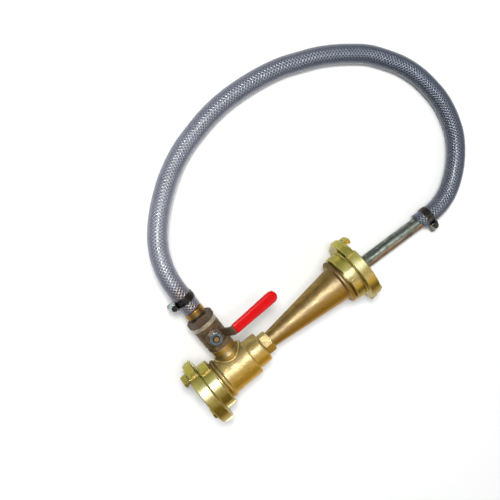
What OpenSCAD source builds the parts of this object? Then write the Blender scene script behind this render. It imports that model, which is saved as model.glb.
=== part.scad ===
// In-line jet eductor with claw couplings, a suction ball valve, a hose and a pickup pipe.
// Lengths are in millimetres. X runs along the water flow from the inlet face, Y along the
// suction branch and Z up along the valve stem.

/* [Couplings] */
// Length from inlet face to outlet face
overall_len = 300; // [280:1:360]
// Outer diameter of the coupling flange
flange_od = 98; // [92:0.5:110]
// Thickness of the coupling flange
flange_t = 17; // [14:0.5:22]
// Outer diameter of the coupling hub
hub_od = 76; // [72:0.5:82]
// Length of the coupling hub behind the flange
hub_len = 17; // [12:0.5:24]
// Diameter of the water way through a coupling
flow_bore = 48; // [42:0.5:50]
// Outer diameter of the thread inside a coupling
coupling_thread = 60; // [58:0.5:64]
// Depth of the thread's inner shoulder behind the face
shoulder_depth = 14; // [12:0.5:16]
// Outer diameter of the face gasket
gasket_od = 66; // [62:0.5:72]
// Radial width of the face gasket
gasket_w = 6; // [4:0.5:7]
// Thickness of the face gasket
gasket_t = 7; // [5:0.5:9]
// Height that the gasket stands proud of the face
gasket_proud = 1; // [0:0.25:2]
// Thickness of the thread washer
washer_t = 2; // [1:0.25:3]
// Width of the spanner slots around the hub, in degrees
slot_arc = 24; // [12:1:40]
// Depth of the spanner slots
slot_depth = 2.5; // [1:0.25:4]

/* [Claws] */
// Height of a claw lug above the flange rim
lug_height = 4; // [3:0.25:8]
// Reach of a claw past the face
claw_reach = 8; // [7:0.5:12]
// Width of a claw, in degrees
claw_arc = 20; // [16:1:26]
// Width of the window beside a claw, in degrees
window_arc = 27; // [20:1:34]
// Radial thickness of a claw
claw_t = 9; // [6:0.5:11]
// Depth of the hook inside a claw tip
hook_depth = 2.5; // [1:0.25:4]
// Angle of the inlet claws about the axis
inlet_clock = 53; // [0:1:60]
// Angle of the outlet claws about the axis
outlet_clock = 84; // [0:1:90]

/* [Eductor body] */
// Outer diameter of the cast body
body_od = 58; // [54:0.5:62]
// Length of the full body diameter
body_len = 48; // [44:0.5:60]
// Outer diameter of the bead next to the inlet coupling
bead_od = 64; // [62:0.5:72]
// Length of the bead next to each coupling
bead_len = 7.5; // [5:0.5:10]
// Open groove between a coupling and its bead
groove = 1.5; // [0.5:0.25:3]
// Diameter of the bore that the nozzle slides into
nozzle_bore = 47; // [44:0.5:50]
// Inner diameter of the suction chamber
chamber_id = 49; // [46:0.5:51]
// Outer diameter of the ring that holds the diffuser
ring_od = 47.5; // [42:0.5:52]
// Length of that ring
ring_len = 22; // [18:0.5:28]

/* [Nozzle and diffuser] */
// Outer diameter of the nozzle thread
nozzle_thread = 40; // [36:0.5:42]
// Length of the nozzle head
nozzle_head = 8; // [5:0.5:10]
// Thickness of the web that the nozzle screws into
web_t = 6; // [4:0.5:8]
// Diameter of the water jet
jet_d = 14; // [8:0.5:18]
// Outer diameter of the nozzle tip
nozzle_tip_od = 19; // [19:0.5:24]
// Diameter of the diffuser throat
throat_d = 18; // [16:0.5:20]
// Outer diameter of the diffuser thread
diffuser_thread = 26.4; // [26:0.1:30]
// Outer diameter of the diffuser cone where it starts
cone_od = 25; // [24.5:0.1:26]
// Outer diameter of the diffuser cone where it ends
cone_end_od = 55; // [53:0.5:60]
// Inner diameter of the diffuser at its outlet
diffuser_exit = 47; // [44:0.5:47.5]
// Outer diameter of the bead next to the outlet coupling
outlet_bead_od = 72; // [64:0.5:76]
// Width across the flats of the diffuser lock nut
locknut_af = 29; // [28:0.5:34]
// Length of the diffuser lock nut
locknut_t = 14; // [8:0.5:18]

/* [Suction valve] */
// Distance of the branch behind the body's front edge
branch_offset = 24; // [21:0.5:25.5]
// Outer diameter of the branch boss
boss_od = 35; // [34:0.5:38]
// Height of the branch boss face above the axis
boss_h = 42; // [38:0.5:48]
// Outer diameter of the branch threads
branch_thread = 26.4; // [24:0.1:27.5]
// Length of a branch thread
branch_thread_len = 11; // [8:0.5:12]
// Diameter of the suction way
suction_bore = 18; // [14:0.5:19]
// Width across the flats of the valve's inner hexagon
valve_af = 33; // [32:0.5:38]
// Length of the valve's inner hexagon
valve_hex_len = 8; // [6:0.5:10]
// Outer diameter of the valve barrel
barrel_od = 39; // [38.5:0.5:44]
// Distance from the boss face to the ball's centre
ball_reach = 23; // [21:0.5:28]
// Diameter of the ball
ball_d = 26; // [25:0.25:27]
// Thickness of a ball seat
seat_t = 5; // [4:0.25:5.5]
// Width across the flats of the valve's end cap
cap_af = 36; // [34:0.5:40]
// Length of the end cap's hexagon
cap_len = 11.5; // [9:0.5:16]
// Length of the end cap's thread in the barrel
cap_thread_len = 8; // [6:0.25:9]
// Diameter of the end cap's thread
cap_thread = 32; // [30:0.25:34]
// Diameter of the stem
stem_d = 10; // [8:0.25:11]
// Diameter of the stem's inner shoulder
stem_shoulder_d = 12.5; // [12:0.25:13.5]
// Outer diameter of the valve neck
neck_od = 22; // [20:0.5:24]
// Height of the valve neck above the valve axis
neck_h = 25; // [24:0.5:28]
// Outer diameter of the stem packing
packing_d = 15; // [14:0.25:16.5]
// Depth of the stem packing
packing_t = 3.5; // [2.5:0.25:4.5]
// Width across the flats of the packing gland
gland_af = 19; // [18:0.5:22]
// Height of the packing gland's hexagon
gland_h = 4.5; // [3:0.25:6]

/* [Lever] */
// Thickness of the lever plate
lever_t = 2.5; // [2:0.25:4]
// Width of the lever plate
lever_w = 15; // [11:0.5:15.5]
// Diameter of the lever's round end on the stem
lever_hub_d = 24; // [20:0.5:28]
// Length of the lever from the stem
lever_len = 101; // [85:1:130]
// Distance from the stem to the lever's lower bend
bend_start = 13; // [12.5:0.5:18]
// Distance from the stem to the lever's upper bend
bend_end = 25; // [22:0.5:34]
// Rise of the lever at its crank
bend_rise = 27; // [14:0.5:30]
// Drop of the lever's end below its upper bend
end_drop = 8; // [0:0.5:10]
// Width of the lever grip
grip_w = 17.5; // [17:0.25:21]
// Thickness of the lever grip
grip_t = 8; // [7:0.25:12]
// Width across the flats of the lever nut
nut_af = 17; // [15:0.5:20]
// Height of the lever nut
nut_h = 8; // [6:0.5:10]
// Height of the stem's end above the lever nut
stem_end = 2; // [1:0.25:4]

/* [Hose and pipe] */
// Outer diameter of the hose
hose_od = 29; // [28:0.5:31]
// Inner diameter of the hose
hose_id = 20; // [19:0.5:21]
// Diameter of the collar on the hose barb
barb_collar_d = 29; // [26:0.5:32]
// Length of the collar on the hose barb
barb_collar_len = 9.5; // [6:0.5:12]
// Length of the black seal between valve and collar
seal_len = 2.5; // [2:0.25:5]
// Outer diameter of the black seal
seal_d = 25; // [24:0.5:28]
// Length of the barbed tail inside the hose
tail_len = 34; // [28:1:40]
// Number of barbs on the tail
barb_count = 4; // [2:1:6]
// Width of a hose clamp's band
band_w = 11; // [9:0.5:14]
// Thickness of a hose clamp's band
band_t = 0.9; // [0.6:0.1:1.5]
// Diameter of a hose clamp's screw
clamp_screw_d = 7; // [5:0.25:8]
// Length of a hose clamp's screw
clamp_screw_len = 29; // [26:1:40]
// Outer diameter of the pickup pipe
pipe_od = 21.3; // [20:0.1:22]
// Inner diameter of the pickup pipe
pipe_id = 16; // [12:0.5:17]

/* [Hidden] */
$fn = 96;

// Clearances: threads and slip fits, running fits and faces that turn past each other
fit_gap = 0.1;
run_gap = 0.05;
face_gap = 0.5;
edge = 1.2;

// Stations along the flow
coupling_len = flange_t + hub_len;
gasket_in = gasket_od / 2 - gasket_w;
spigot_x = shoulder_depth + washer_t;
bead_x = coupling_len + groove;
body_x = bead_x + bead_len;
ring_x = body_x + body_len;
locknut_x = ring_x + ring_len;
cone_x = locknut_x + locknut_t;
outlet_hub_x = overall_len - coupling_len;
outlet_bead_x = outlet_hub_x - groove - bead_len;
diffuser_x = ring_x + 0.4 * ring_len;
spigot_r = coupling_thread / 2 - fit_gap;

// Stations inside the body
branch_x = body_x + branch_offset;
chamber_x = branch_x - suction_bore / 2 - 1.5;
web_x = chamber_x - web_t;
chamber_end_x = ring_x - 7;
nozzle_tip_x = ring_x - 3;

// Stations along the branch
ball_y = boss_h + ball_reach;
seat_out = ball_d / 2 - 0.5;
barrel_end_y = ball_y + seat_out + cap_thread_len;
cap_end_y = barrel_end_y + cap_len;
collar_y = cap_end_y + seal_len;
hose_y = collar_y + barb_collar_len;
clamp_y = hose_y + 20;
hose_clamp_turn = 190;

// Heights along the stem
shoulder_top = 17;
gland_top = neck_h + gland_h;
lever_z = gland_top + face_gap;
nut_z = lever_z + lever_t;
stem_top = nut_z + nut_h + stem_end;
ball_top = ball_d / 2 + fit_gap;
tang_depth = 2.6;
tang_w = 6;

// Lever path from the stem: lower bend, upper bend and end, seen from the side
lever_path = [[0, lever_z], [bend_start, lever_z], [bend_end, lever_z + bend_rise],
              [lever_len, lever_z + bend_rise - end_drop]];
grip_start = 0.04;

// Hose route from the barb to the pipe, laid down on the ground
hose_route = [
    [67, 109, 0], [67, 128, 0], [67, 148, 0], [70, 172, -2], [78, 196, -5], [91, 218, -9],
    [109, 238, -14], [129, 255, -19], [152, 271, -24], [176, 284, -29], [201, 294, -32],
    [227, 301, -34], [255, 307, -34], [283, 310, -34], [310, 310, -34], [336, 308, -34],
    [363, 304, -34], [389, 298, -34], [414, 289, -34], [439, 279, -34], [462, 267, -34],
    [485, 252, -34], [507, 235, -34], [525, 214, -34], [541, 191, -34], [553, 165, -34],
    [560, 137, -34], [563, 109, -34], [560, 80, -34], [552, 53, -34], [537, 28, -34],
    [518, 7, -34], [495, -10, -34], [472, -19, -33.5], [449, -21.5, -33], [424, -20.5, -34]];
pipe_start = [449, -21.5, -33];
pipe_end = [313, -16, -38.2];
pipe_clamp_at = 9;
pipe_clamp_turn = 115;
hose_sides = 12;

function unit(v) = v / norm(v);

// Corner of a strip of thickness t whose lower edge turns at p
function corner(a, p, b, t) =
    let (d = unit(p - a), e = unit(b - p), m = [-d[1], d[0]], n = [-e[1], e[0]])
    p + t * (m + n) / (1 + m * n);

// Points of an arc in a profile
function arc(c, r, from, to, steps = 6) =
    [for (i = [0:steps]) let (a = from + (to - from) * i / steps) c + r * [cos(a), sin(a)]];

// Turns a profile drawn as [radius, x] about the flow axis
module turned_x(points) { rotate([0, 90, 0]) rotate_extrude() polygon(points); }

// Turns a profile drawn as [radius, y] about the suction axis
module turned_y(points) { translate([branch_x, 0, 0]) rotate([-90, 0, 0]) rotate_extrude() polygon(points); }

// Turns a profile drawn as [radius, z] about the stem axis
module turned_z(points) { translate([branch_x, ball_y, 0]) rotate_extrude() polygon(points); }

// Hexagonal bar along the local axis with chamfered corners at both ends
module hex_bar(af, len) {
    r = af / sqrt(3);
    intersection() {
        cylinder(r = r, h = len, $fn = 6);
        rotate_extrude() polygon([[0, 0], [af / 2, 0], [r, (r - af / 2) * 0.6],
                                  [r, len - (r - af / 2) * 0.6], [af / 2, len], [0, len]]);
    }
}

// Places children along the line from p to q, starting at p
module along(p, q) {
    d = q - p;
    translate(p) rotate([0, acos(d[2] / norm(d)), atan2(d[1], d[0])]) children();
}

// Claw coupling half: the local axis points out of its face
module claw_coupling(clock) {
    rim = flange_od / 2;
    hub = hub_od / 2;
    lug = rim + lug_height;
    lug_arc = claw_arc + window_arc + 6;
    claw_in = rim - claw_t;
    window_in = max(claw_in - 1, hub + 1);
    slot_z = -flange_t - 2;
    lug_back = -flange_t + 0.5;
    difference() {
        union() {
            rotate_extrude() polygon([
                [gasket_od / 2, 0], [rim - edge, 0], [rim, -edge], [rim, -flange_t + edge],
                [rim - edge, -flange_t], [hub + 0.8, -flange_t], [hub, -flange_t - 0.8],
                [hub, -coupling_len + edge], [hub - edge, -coupling_len], [coupling_thread / 2, -coupling_len],
                [coupling_thread / 2, -shoulder_depth], [flow_bore / 2, -shoulder_depth], [flow_bore / 2, 0],
                [gasket_in, 0], [gasket_in, -gasket_t + gasket_proud],
                [gasket_od / 2, -gasket_t + gasket_proud]]);
            for (turn = [0, 180]) rotate([0, 0, clock + turn]) {
                // Lug that carries the claw and bridges the window
                rotate_extrude(angle = lug_arc) polygon([
                    [rim - 4, lug_back], [lug - edge, lug_back], [lug, lug_back + edge],
                    [lug - 0.5, -7], [lug - 2, -3], [lug - 5, -0.5], [rim - 4, -0.5]]);
                // Claw with its inward hook
                rotate_extrude(angle = claw_arc) polygon([
                    [claw_in + hook_depth, -0.5], [lug - 3.5, -0.5], [rim + 0.4, claw_reach * 0.6],
                    [rim, claw_reach - edge], [rim - edge, claw_reach], [claw_in + edge, claw_reach],
                    [claw_in, claw_reach - edge], [claw_in, claw_reach * 0.5],
                    [claw_in + hook_depth, claw_reach * 0.5 - 1]]);
            }
        }
        // Windows that take the claws of the other half
        for (turn = [0, 180]) rotate([0, 0, clock + turn + claw_arc + 3])
            rotate_extrude(angle = window_arc) polygon([
                [window_in, -flange_t - 1], [rim + 1.5, -flange_t - 1], [rim + 1.5, 1], [window_in, 1]]);
        // Spanner slots around the hub
        for (turn = [0:90:270]) rotate([0, 0, clock - 22 + turn])
            rotate_extrude(angle = slot_arc) polygon([
                [hub - slot_depth, slot_z], [hub + 3, slot_z], [hub + 3, -coupling_len - 1],
                [hub - slot_depth, -coupling_len - 1]]);
    }
}

// Face gasket, standing a little proud of the coupling's face
module face_gasket() {
    rotate_extrude() polygon([
        [gasket_in + fit_gap, -gasket_t + gasket_proud], [gasket_od / 2 - fit_gap, -gasket_t + gasket_proud],
        [gasket_od / 2 - fit_gap, 0], [gasket_od / 2 - edge, gasket_proud], [gasket_in + edge, gasket_proud],
        [gasket_in + fit_gap, 0]]);
}

// Flat washer between a coupling's shoulder and the thread end
module thread_washer() {
    rotate_extrude() polygon([
        [flow_bore / 2 + 0.8, -spigot_x], [spigot_r, -spigot_x], [spigot_r, -shoulder_depth],
        [flow_bore / 2 + 0.8, -shoulder_depth]]);
}

module at_inlet() { rotate([0, -90, 0]) children(); }
module at_outlet() { translate([overall_len, 0, 0]) rotate([0, 90, 0]) children(); }

module inlet_coupling() { color("#c9bb62") at_inlet() claw_coupling(inlet_clock); }
module outlet_coupling() { color("#c9bb62") at_outlet() claw_coupling(outlet_clock); }
module inlet_gasket() { color("#1b1b1b") at_inlet() face_gasket(); }
module outlet_gasket() { color("#1b1b1b") at_outlet() face_gasket(); }
module inlet_washer() { color("#5a3d2a") at_inlet() thread_washer(); }
module outlet_washer() { color("#5a3d2a") at_outlet() thread_washer(); }

// Cast body with the suction branch and chamber
module eductor_body() {
    r = body_od / 2;
    bead = bead_od / 2;
    ring = ring_od / 2;
    boss = boss_od / 2;
    root = min(boss + 2, branch_offset - 0.6);
    color("#c2a24a") difference() {
        union() {
            turned_x(concat(
                [[0, spigot_x], [spigot_r - edge, spigot_x], [spigot_r, spigot_x + edge], [spigot_r, bead_x]],
                arc([bead - bead_len / 2, bead_x + bead_len / 2], bead_len / 2, -90, 90),
                [[r + 0.5, body_x], [r, body_x + 0.8], [r, ring_x - 2], [r - 0.6, ring_x - 0.6], [r - 2, ring_x],
                 [ring, ring_x], [ring, locknut_x - 3], [ring - 0.9, locknut_x - 0.9],
                 [ring - 3, locknut_x], [0, locknut_x]]));
            // Branch boss with a flared root
            turned_y([[0, 0], [root, 0], [root, r - 1], [boss + 0.5, r + 2], [boss, r + 4],
                      [boss, boss_h - 0.8], [boss - 0.8, boss_h], [0, boss_h]]);
        }
        // Nozzle bore, web, suction chamber and diffuser thread
        turned_x([[0, spigot_x - 1], [nozzle_bore / 2, spigot_x - 1], [nozzle_bore / 2, web_x],
                  [nozzle_thread / 2, web_x], [nozzle_thread / 2, chamber_x], [chamber_id / 2, chamber_x],
                  [chamber_id / 2, chamber_end_x], [diffuser_thread / 2, diffuser_x],
                  [diffuser_thread / 2, locknut_x + 1], [0, locknut_x + 1]]);
        // Suction way and branch thread
        turned_y([[0, 0], [suction_bore / 2, 0], [suction_bore / 2, boss_h - branch_thread_len],
                  [branch_thread / 2, boss_h - branch_thread_len], [branch_thread / 2, boss_h + 1], [0, boss_h + 1]]);
    }
}

// Jet nozzle, screwed into the web from the inlet end
module jet_nozzle() {
    head = nozzle_bore / 2 - fit_gap;
    thread = nozzle_thread / 2 - fit_gap;
    tip = nozzle_tip_od / 2;
    color("#b98f4e") turned_x([
        [thread - 1, web_x - nozzle_head], [head - edge, web_x - nozzle_head], [head, web_x - nozzle_head + edge],
        [head, web_x], [thread, web_x], [thread, chamber_x], [thread - 3, chamber_x + 1],
        [tip, nozzle_tip_x - 3], [tip, nozzle_tip_x - 1], [tip - 1, nozzle_tip_x], [jet_d / 2, nozzle_tip_x],
        [jet_d / 2, nozzle_tip_x - 6], [thread - 6, chamber_x - 1]]);
}

// Diffuser cone, with its thread in the body and the outlet coupling's spigot
module diffuser() {
    thread = diffuser_thread / 2 - fit_gap;
    bead = outlet_bead_od / 2;
    throat = throat_d / 2;
    exit = diffuser_exit / 2;
    end = overall_len - spigot_x;
    color("#c2a24a") turned_x(concat(
        [[throat + 2, diffuser_x], [thread - 1, diffuser_x], [thread, diffuser_x + 1], [thread, cone_x],
         [cone_od / 2, cone_x], [cone_end_od / 2, outlet_bead_x]],
        arc([bead - bead_len / 2, outlet_bead_x + bead_len / 2], bead_len / 2, -90, 90),
        [[spigot_r, outlet_bead_x + bead_len], [spigot_r, end - edge], [spigot_r - edge, end],
         [exit, end], [exit, outlet_bead_x], [throat, cone_x], [throat, diffuser_x + 5]]));
}

module diffuser_locknut() {
    color("#b99a48") translate([locknut_x, 0, 0]) rotate([0, 90, 0]) difference() {
        hex_bar(locknut_af, locknut_t);
        translate([0, 0, -1]) cylinder(d = diffuser_thread, h = locknut_t + 2);
    }
}

// Valve body: thread, hexagon, barrel and stem neck
module valve_body() {
    thread = branch_thread / 2 - fit_gap;
    barrel = barrel_od / 2;
    hex_end_y = boss_h + valve_hex_len;
    seat_r = ball_d / 2 + 0.6;
    color("#6e5637") difference() {
        union() {
            turned_y([[0, boss_h - branch_thread_len + 1], [thread - 1, boss_h - branch_thread_len + 1],
                      [thread, boss_h - branch_thread_len + 2], [thread, boss_h], [thread, hex_end_y - 1],
                      [barrel - 4, hex_end_y - 1], [barrel, hex_end_y + 3], [barrel, barrel_end_y - 1],
                      [barrel - 1, barrel_end_y], [0, barrel_end_y]]);
            translate([branch_x, boss_h, 0]) rotate([-90, 0, 0]) hex_bar(valve_af, valve_hex_len);
            turned_z([[0, 0], [neck_od / 2, 0], [neck_od / 2, neck_h - 1], [neck_od / 2 - 1, neck_h], [0, neck_h]]);
        }
        // Suction way, ball chamber and end cap thread
        turned_y([[0, 0], [suction_bore / 2, 0], [suction_bore / 2, ball_y - seat_out], [seat_r, ball_y - seat_out],
                  [seat_r, ball_y + seat_out], [cap_thread / 2, ball_y + seat_out], [cap_thread / 2, barrel_end_y + 1],
                  [0, barrel_end_y + 1]]);
        // Stem bore with its shoulder seat below and its packing box above
        turned_z([[0, 0], [stem_shoulder_d / 2 + run_gap, 0], [stem_shoulder_d / 2 + run_gap, shoulder_top + run_gap],
                  [stem_d / 2 + run_gap, shoulder_top + run_gap], [stem_d / 2 + run_gap, neck_h - packing_t - 2],
                  [packing_d / 2, neck_h - packing_t - 2], [packing_d / 2, neck_h + 1], [0, neck_h + 1]]);
    }
}

module valve_end_cap() {
    color("#7a5f3b") difference() {
        union() {
            turned_y([[0, ball_y + seat_out], [cap_thread / 2 - fit_gap, ball_y + seat_out],
                      [cap_thread / 2 - fit_gap, barrel_end_y], [cap_thread / 2 - fit_gap, barrel_end_y + 1],
                      [0, barrel_end_y + 1]]);
            translate([branch_x, barrel_end_y, 0]) rotate([-90, 0, 0]) hex_bar(cap_af, cap_len);
        }
        turned_y([[0, 0], [suction_bore / 2, 0], [suction_bore / 2, cap_end_y - branch_thread_len],
                  [branch_thread / 2, cap_end_y - branch_thread_len], [branch_thread / 2, cap_end_y + 1],
                  [0, cap_end_y + 1]]);
    }
}

// Ball seat ring, on the side given by its sign
module ball_seat(side) {
    color("#efece2") difference() {
        translate([branch_x, ball_y, 0]) rotate([-90 * side, 0, 0]) rotate_extrude() polygon([
            [suction_bore / 2, seat_out - seat_t], [ball_d / 2 + 0.5, seat_out - seat_t],
            [ball_d / 2 + 0.5, seat_out], [suction_bore / 2, seat_out]]);
        translate([branch_x, ball_y, 0]) sphere(r = ball_d / 2 + run_gap);
    }
}
module inner_ball_seat() { ball_seat(-1); }
module outer_ball_seat() { ball_seat(1); }

module stem_packing() {
    color("#efece2") turned_z([
        [stem_d / 2 + run_gap, neck_h - packing_t - 2], [packing_d / 2 - fit_gap, neck_h - packing_t - 2],
        [packing_d / 2 - fit_gap, neck_h - 2], [stem_d / 2 + run_gap, neck_h - 2]]);
}

// Packing gland, screwed into the packing box
module packing_gland() {
    color("#8a6b3f") difference() {
        union() {
            turned_z([[0, neck_h - 2], [packing_d / 2 - fit_gap, neck_h - 2], [packing_d / 2 - fit_gap, neck_h + 0.5],
                      [0, neck_h + 0.5]]);
            translate([branch_x, ball_y, neck_h]) hex_bar(gland_af, gland_h);
        }
        translate([branch_x, ball_y, 0]) cylinder(r = stem_d / 2 + run_gap, h = gland_top + 1);
    }
}

// Ball with its way across the flow while the valve is closed, and a slot for the stem
module valve_ball() {
    color("#d8d8d4") translate([branch_x, ball_y, 0]) difference() {
        sphere(d = ball_d);
        rotate([0, 90, 0]) cylinder(d = suction_bore, h = ball_d + 2, center = true);
        translate([0, 0, ball_top - tang_depth + ball_d / 2])
            cube([ball_d, tang_w + 2 * fit_gap, ball_d], center = true);
    }
}

// Stem with its tang in the ball, an inner shoulder and a threaded end
module valve_stem() {
    color("#b59a55") union() {
        turned_z([[0, ball_top], [stem_shoulder_d / 2, ball_top], [stem_shoulder_d / 2, shoulder_top],
                  [stem_d / 2, shoulder_top], [stem_d / 2, stem_top - 0.8], [stem_d / 2 - 0.8, stem_top],
                  [0, stem_top]]);
        translate([branch_x, ball_y, ball_top - tang_depth / 2 + 0.2])
            cube([stem_d - 1, tang_w, tang_depth - 0.4], center = true);
    }
}

// Side view of the lever's plate, grown on both sides for the sleeve's clearance
module lever_strip(grow = 0) {
    p = lever_path;
    lift = [0, lever_t + grow];
    polygon([
        p[0] - [0, grow], p[1] - [0, grow], p[2] - [0, grow], p[3] - [0, grow],
        p[3] + lift, corner(p[1], p[2], p[3], lever_t) + [0, grow],
        corner(p[0], p[1], p[2], lever_t) + [0, grow], p[0] + lift]);
}

// Lever plate along X, cranked up from its round end on the stem
module lever() {
    color("#5d6a66") translate([branch_x, ball_y, 0]) difference() {
        union() {
            rotate([90, 0, 0]) linear_extrude(lever_w, center = true) lever_strip();
            translate([0, 0, lever_z]) cylinder(d = lever_hub_d, h = lever_t);
        }
        translate([0, 0, lever_z - 1]) cylinder(r = stem_d / 2 + run_gap, h = lever_t + 2);
    }
}

// Dipped sleeve over the lever's upper stretch, with a round end
module lever_grip() {
    from = lever_path[2];
    run = lever_path[3] - from;
    tilt = atan2(run[1], run[0]);
    start = norm(run) * grip_start;
    length = norm(run) + 2;
    round_r = grip_w / 2 - 0.5;
    edge_r = 2.6;
    color("#c8141e") translate([branch_x, ball_y, 0]) difference() {
        translate([from[0], 0, from[1] + lever_t / 2]) rotate([0, -tilt, 0]) hull() {
            for (side = [-1, 1], level = [-1, 1])
                translate([start, side * (grip_w / 2 - edge_r), level * (grip_t / 2 - edge_r)])
                    rotate([0, 90, 0]) cylinder(r = edge_r, h = 20, $fn = 32);
            for (level = [-1, 1])
                translate([length - round_r, 0, level * (grip_t / 2 - 1.5)])
                    cylinder(r = round_r - 1, h = 0.01, $fn = 32);
            translate([length - round_r, 0, -grip_t / 4]) cylinder(r = round_r, h = grip_t / 2, $fn = 32);
        }
        rotate([90, 0, 0]) linear_extrude(lever_w + 2 * fit_gap, center = true) lever_strip(fit_gap);
    }
}

module lever_nut() {
    color("#9fb0b4") translate([branch_x, ball_y, nut_z]) difference() {
        hex_bar(nut_af, nut_h);
        translate([0, 0, -1]) cylinder(r = stem_d / 2 + run_gap, h = nut_h + 2);
    }
}

// Hose barb: thread, neck, collar and barbed tail
module hose_barb() {
    thread = branch_thread / 2 - fit_gap;
    neck = hose_id / 2;
    crest = hose_id / 2 + 0.6;
    collar = barb_collar_d / 2;
    pitch = (tail_len - 6) / barb_count;
    color("#bb9a4a") difference() {
        turned_y(concat(
            [[0, cap_end_y - branch_thread_len + 1], [thread - 1, cap_end_y - branch_thread_len + 1],
             [thread, cap_end_y - branch_thread_len + 2], [thread, cap_end_y], [neck, cap_end_y], [neck, collar_y],
             [collar - 0.8, collar_y], [collar, collar_y + 0.8], [collar, hose_y - 0.8], [collar - 0.8, hose_y],
             [neck, hose_y], [neck, hose_y + 6]],
            [for (i = [0:barb_count - 1], tooth = [0, 1])
                tooth == 0 ? [crest, hose_y + 6 + i * pitch + 0.2] : [neck - 0.6, hose_y + 6 + (i + 1) * pitch]],
            [[0, hose_y + tail_len]]));
        turned_y([[0, 0], [suction_bore / 2 - 2, 0], [suction_bore / 2 - 2, hose_y + tail_len + 1],
                  [0, hose_y + tail_len + 1]]);
    }
}

// Rubber seal on the barb's neck
module barb_seal() {
    inside = hose_id / 2 + fit_gap;
    outside = seal_d / 2;
    color("#161616") turned_y([
        [inside, cap_end_y], [outside - 0.6, cap_end_y], [outside, cap_end_y + 0.6], [outside, collar_y - 0.6],
        [outside - 0.6, collar_y], [inside, collar_y]]);
}

// Worm clamp band around a hose along the local axis, its screw housing at local +X
module clamp_band() {
    inside = hose_od / 2;
    outside = inside + band_t;
    housing = clamp_screw_d + 3;
    difference() {
        union() {
            rotate_extrude() polygon([[inside, -band_w / 2], [outside, -band_w / 2], [outside, band_w / 2],
                                      [inside, band_w / 2]]);
            translate([outside - 0.8, -8, -band_w / 2 - 1]) cube([housing, 16, band_w + 2]);
        }
        translate([outside + 1 + clamp_screw_d / 2, 0, 0]) rotate([90, 0, 0])
            cylinder(d = clamp_screw_d + 2 * fit_gap, h = 40, center = true);
    }
}

// Worm clamp screw with a slotted hexagon head, lying in its housing
module clamp_screw() {
    head_af = clamp_screw_d + 1;
    translate([hose_od / 2 + band_t + 1 + clamp_screw_d / 2, 9, 0]) rotate([90, 0, 0]) difference() {
        union() {
            cylinder(d = clamp_screw_d, h = clamp_screw_len - 6);
            translate([0, 0, clamp_screw_len - 8]) hex_bar(head_af, 8);
        }
        translate([0, 0, clamp_screw_len]) cube([1.4, head_af * 2, 3], center = true);
    }
}

// Places a clamp at the valve end of the hose, its housing on the inlet side and its screw upright
module at_hose_clamp() {
    translate([branch_x, clamp_y, 0]) rotate([-90, 0, 0]) rotate([0, 0, hose_clamp_turn]) children();
}

// Places a clamp at the pipe end of the hose, its screw pointing away from the branch
module at_pipe_clamp() {
    along(pipe_start, pipe_end) translate([0, 0, pipe_clamp_at]) rotate([0, 0, pipe_clamp_turn]) children();
}

module hose_clamp_band() { color("#8d9a9c") at_hose_clamp() clamp_band(); }
module hose_clamp_screw() { color("#9fb0b4") at_hose_clamp() clamp_screw(); }
module pipe_clamp_band() { color("#59615f") at_pipe_clamp() clamp_band(); }
module pipe_clamp_screw() { color("#6c7674") at_pipe_clamp() clamp_screw(); }

// Hose swept along its route as one closed tube
function tangent(i) = let (n = len(hose_route) - 1)
    unit(hose_route[min(i + 1, n)] - hose_route[max(i - 1, 0)]);
function ring_at(i) = let (t = tangent(i), s = unit(cross([0, 0, 1], t)), u = cross(t, s))
    [for (k = [0:hose_sides - 1]) let (a = 360 * k / hose_sides)
        hose_route[i] + hose_od / 2 * (cos(a) * s + sin(a) * u)];

module suction_hose() {
    rings = len(hose_route);
    last = (rings - 1) * hose_sides;
    points = [for (i = [0:rings - 1]) each ring_at(i)];
    sides = [for (i = [0:rings - 2], k = [0:hose_sides - 1]) let (m = (k + 1) % hose_sides, b = i * hose_sides)
        [b + k, b + hose_sides + k, b + hose_sides + m, b + m]];
    caps = [[for (k = [0:hose_sides - 1]) k], [for (k = [0:hose_sides - 1]) last + hose_sides - 1 - k]];
    color("#9aa3b0") polyhedron(points, concat(sides, caps));
}

module pickup_pipe() {
    color("#a9aca2") along(pipe_start, pipe_end) difference() {
        cylinder(d = pipe_od, h = norm(pipe_end - pipe_start));
        translate([0, 0, -1]) cylinder(d = pipe_id, h = norm(pipe_end - pipe_start) + 2);
    }
}

eductor_body();
inlet_coupling();
outlet_coupling();
inlet_gasket();
outlet_gasket();
inlet_washer();
outlet_washer();
jet_nozzle();
diffuser();
diffuser_locknut();
valve_body();
valve_end_cap();
inner_ball_seat();
outer_ball_seat();
stem_packing();
packing_gland();
valve_ball();
valve_stem();
lever();
lever_grip();
lever_nut();
hose_barb();
barb_seal();
hose_clamp_band();
hose_clamp_screw();
suction_hose();
pipe_clamp_band();
pipe_clamp_screw();
pickup_pipe();
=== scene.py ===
# In-line jet eductor: brass body and couplings, suction valve, braided hose and steel pickup pipe
import bmesh
import bpy
import math
from mathutils import Matrix, Vector


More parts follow.
